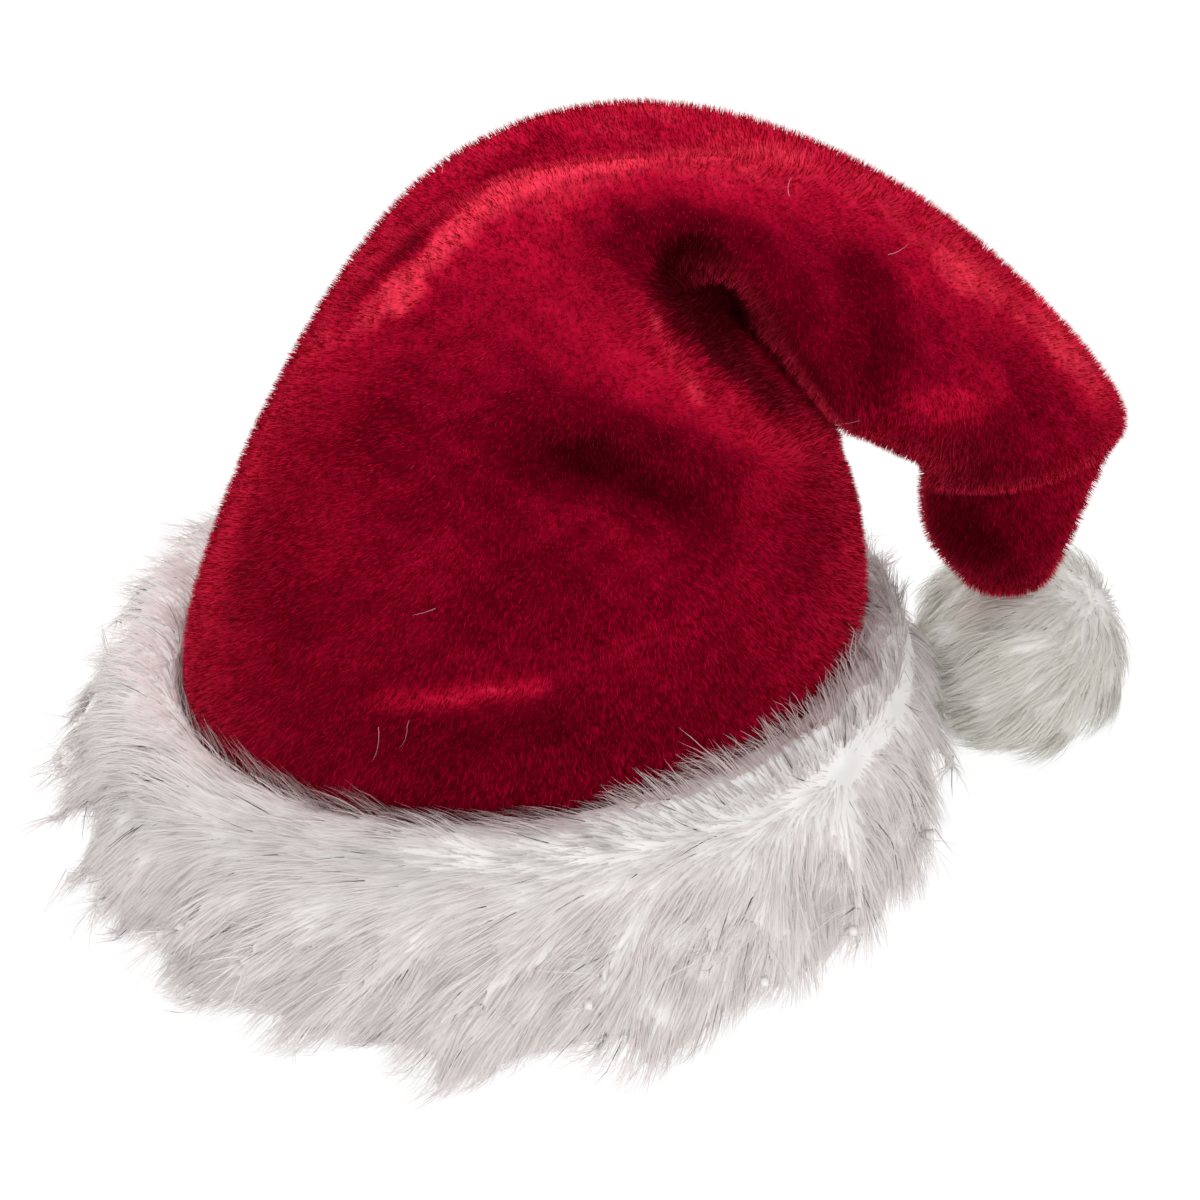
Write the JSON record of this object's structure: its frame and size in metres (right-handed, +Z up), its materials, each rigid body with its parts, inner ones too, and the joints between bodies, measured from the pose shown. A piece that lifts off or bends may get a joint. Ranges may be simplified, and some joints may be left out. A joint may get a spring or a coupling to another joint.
{
  "type": "santa hat",
  "caption": "Plush Santa hat standing on its thick fur cuff, the cone folded over to the side with a fur pompom on its tip.",
  "frame": {"origin": "middle of the hat's outer box at the level of the surface that it stands on", "axes": "+X from the head opening towards the tail and pompom, +Y from the wearer's front to the back, +Z up"},
  "size_m": [0.3602, 0.24, 0.2428],
  "materials": {
    "red_plush": "short dense crimson plush pile, brighter where it is seen edge on",
    "white_fur": "long soft white faux fur"
  },
  "bodies": {
    "root": {"crown": "red_plush", "fur_cuff": "white_fur", "pompom": "white_fur"}
  },
  "joints": []
}
